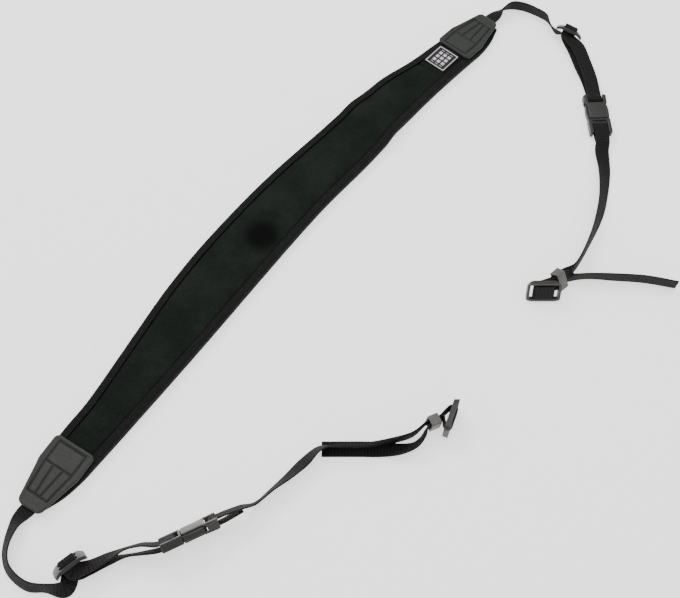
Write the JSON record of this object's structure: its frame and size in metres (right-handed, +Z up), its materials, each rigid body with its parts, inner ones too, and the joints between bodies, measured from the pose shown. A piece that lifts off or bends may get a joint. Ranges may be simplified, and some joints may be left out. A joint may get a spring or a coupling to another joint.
{
  "type": "camera neck strap",
  "caption": "Padded camera neck strap laid out on a table, with end tabs, quick-release buckles, glides and narrow webbing to the camera.",
  "frame": {"origin": "under the middle of the whole strap, on the surface it lies on", "axes": "+Z up from the surface; +X to the right and +Y away as the strap is laid out, with the camera-side fastenings on the +X side"},
  "size_m": [0.4968, 0.5432, 0.0219],
  "materials": {
    "foam_panel": "matte knit over foam",
    "edge_tape": "folded woven tape",
    "end_tab": "embossed synthetic leather",
    "webbing": "ribbed woven webbing",
    "moulding": "fine-textured moulding",
    "label": "flat label"
  },
  "bodies": {
    "root": {"neck_pad": "foam_panel", "binding_left": "edge_tape", "binding_right": "edge_tape", "label": "label", "end_tab_near": "end_tab", "end_tab_far": "end_tab", "glide_near": "moulding", "glide_far": "moulding", "buckle_socket_near": "moulding", "buckle_socket_far": "moulding", "buckle_plug_near": "moulding", "buckle_plug_far": "moulding", "camera_slider_near": "moulding", "camera_slider_far": "moulding", "keeper_near": "moulding", "keeper_far": "moulding", "upper_webbing_near": "webbing", "upper_webbing_far": "webbing", "lower_webbing_near": "webbing", "lower_webbing_far": "webbing"}
  },
  "joints": []
}
